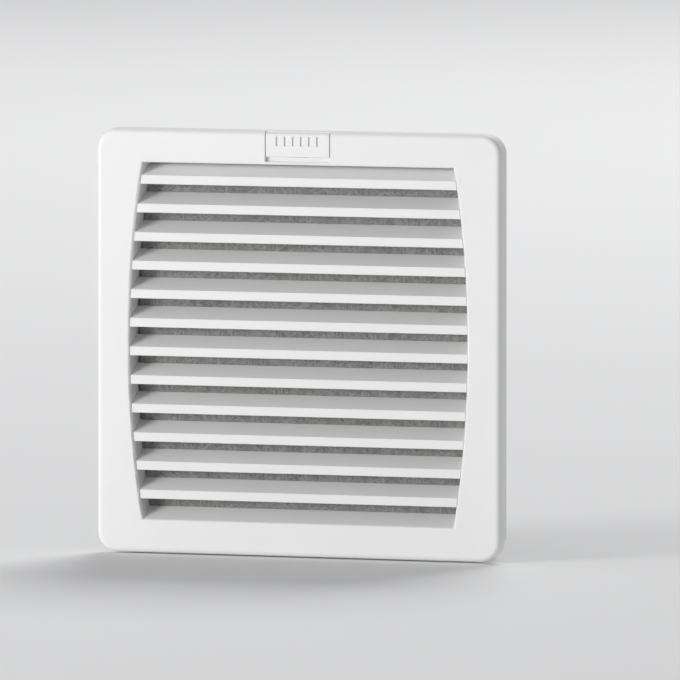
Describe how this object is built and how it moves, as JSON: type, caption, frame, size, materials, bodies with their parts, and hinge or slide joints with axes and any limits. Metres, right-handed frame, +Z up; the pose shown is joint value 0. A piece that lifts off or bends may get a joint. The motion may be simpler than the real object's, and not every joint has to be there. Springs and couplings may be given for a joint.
{
  "type": "enclosure filter fan",
  "caption": "Square louvred filter fan for an enclosure panel: hinged cover with latch, filter mat, snap-in tray, axial fan, wire guard and push-in terminal block.",
  "frame": {"origin": "centre of the panel cut-out on the panel's outer face", "axes": "+X to the right seen from the front, +Y into the enclosure, +Z up"},
  "size_m": [0.25, 0.1038, 0.25],
  "materials": {
    "cover_abs": "fine moulded grain",
    "frame_abs": "moulded, slightly glossy",
    "fleece": "needled polyester fleece",
    "foam": "closed-cell foam",
    "pin_steel": "drawn steel",
    "clip_pa": "moulded polyamide",
    "cast_black": "black painted die-casting",
    "zinc_steel": "zinc plated",
    "sheet_steel": "electrical sheet",
    "rotor_paint": "black painted steel",
    "copper": "enamelled wire",
    "blade_pa": "glass-filled polyamide",
    "guard_wire": "chromed wire",
    "terminal_pa": "moulded polyamide",
    "button_pa": "moulded polyamide",
    "tin_brass": "tinned brass"
  },
  "bodies": {
    "base": {"mounting_frame": "frame_abs", "fan_tray": "frame_abs", "clip_seats": "frame_abs", "tray_ribs": "frame_abs", "flange_seal": "foam", "clip_pins": "pin_steel", "inlet_guard": "frame_abs", "fan_frame": "cast_black", "bearing_front": "pin_steel", "bearing_rear": "pin_steel", "stator_core": "sheet_steel", "stator_winding": "copper", "fan_screws": "zinc_steel", "fan_nuts": "zinc_steel", "finger_guard": "guard_wire", "guard_screws": "zinc_steel", "guard_nuts": "zinc_steel", "terminal_block": "terminal_pa", "terminal_screws": "zinc_steel", "fan_connector": "clip_pa", "fan_tabs": "tin_brass"},
    "grille": {"front_grille": "cover_abs", "louvre_slats": "cover_abs", "mat_collar": "cover_abs", "filter_mat": "fleece", "mat_retainer": "frame_abs", "hinge_pins": "pin_steel"},
    "latch": {"latch_slider": "cover_abs"},
    "rotor": {"rotor_shaft": "pin_steel", "shaft_circlip": "sheet_steel", "rotor_cup": "rotor_paint", "rotor_cage": "sheet_steel", "impeller": "blade_pa"},
    "clip_right_upper": {"panel_clip_right_upper": "clip_pa"},
    "clip_right_lower": {"panel_clip_right_lower": "clip_pa"},
    "clip_left_upper": {"panel_clip_left_upper": "clip_pa"},
    "clip_left_lower": {"panel_clip_left_lower": "clip_pa"},
    "button_left": {"terminal_button_left": "button_pa"},
    "button_middle": {"terminal_button_middle": "button_pa"},
    "button_right": {"terminal_button_right": "button_pa"}
  },
  "joints": [
    {"name": "grille_hinge", "type": "hinge", "parent": "base", "child": "grille", "pos_m": [0, -0.006, -0.1196], "axis": [1, 0, 0], "range_deg": [0, 90]},
    {"name": "latch_slide", "type": "slide", "parent": "grille", "child": "latch", "axis": [0, 0, -1], "range_m": [0, 0.0028], "stiffness_N_per_m": 400},
    {"name": "fan_spin", "type": "hinge", "parent": "base", "child": "rotor", "pos_m": [0, 0.06, 0], "axis": [0, 1, 0], "continuous": true},
    {"name": "clip_right_upper_press", "type": "hinge", "parent": "base", "child": "clip_right_upper", "pos_m": [0.1074, 0.025, 0.062], "axis": [0, 0, -1], "range_deg": [0, 7.8], "stiffness_Nm_per_rad": 0.5},
    {"name": "clip_right_lower_press", "type": "hinge", "parent": "base", "child": "clip_right_lower", "pos_m": [0.1074, 0.025, -0.062], "axis": [0, 0, -1], "range_deg": [0, 7.8], "stiffness_Nm_per_rad": 0.5},
    {"name": "clip_left_upper_press", "type": "hinge", "parent": "base", "child": "clip_left_upper", "pos_m": [-0.1074, 0.025, 0.062], "axis": [0, 0, 1], "range_deg": [0, 7.8], "stiffness_Nm_per_rad": 0.5},
    {"name": "clip_left_lower_press", "type": "hinge", "parent": "base", "child": "clip_left_lower", "pos_m": [-0.1074, 0.025, -0.062], "axis": [0, 0, 1], "range_deg": [0, 7.8], "stiffness_Nm_per_rad": 0.5},
    {"name": "button_left_press", "type": "slide", "parent": "base", "child": "button_left", "axis": [0, -1, 0], "range_m": [0, 0.0015], "stiffness_N_per_m": 800},
    {"name": "button_middle_press", "type": "slide", "parent": "base", "child": "button_middle", "axis": [0, -1, 0], "range_m": [0, 0.0015], "stiffness_N_per_m": 800},
    {"name": "button_right_press", "type": "slide", "parent": "base", "child": "button_right", "axis": [0, -1, 0], "range_m": [0, 0.0015], "stiffness_N_per_m": 800}
  ]
}
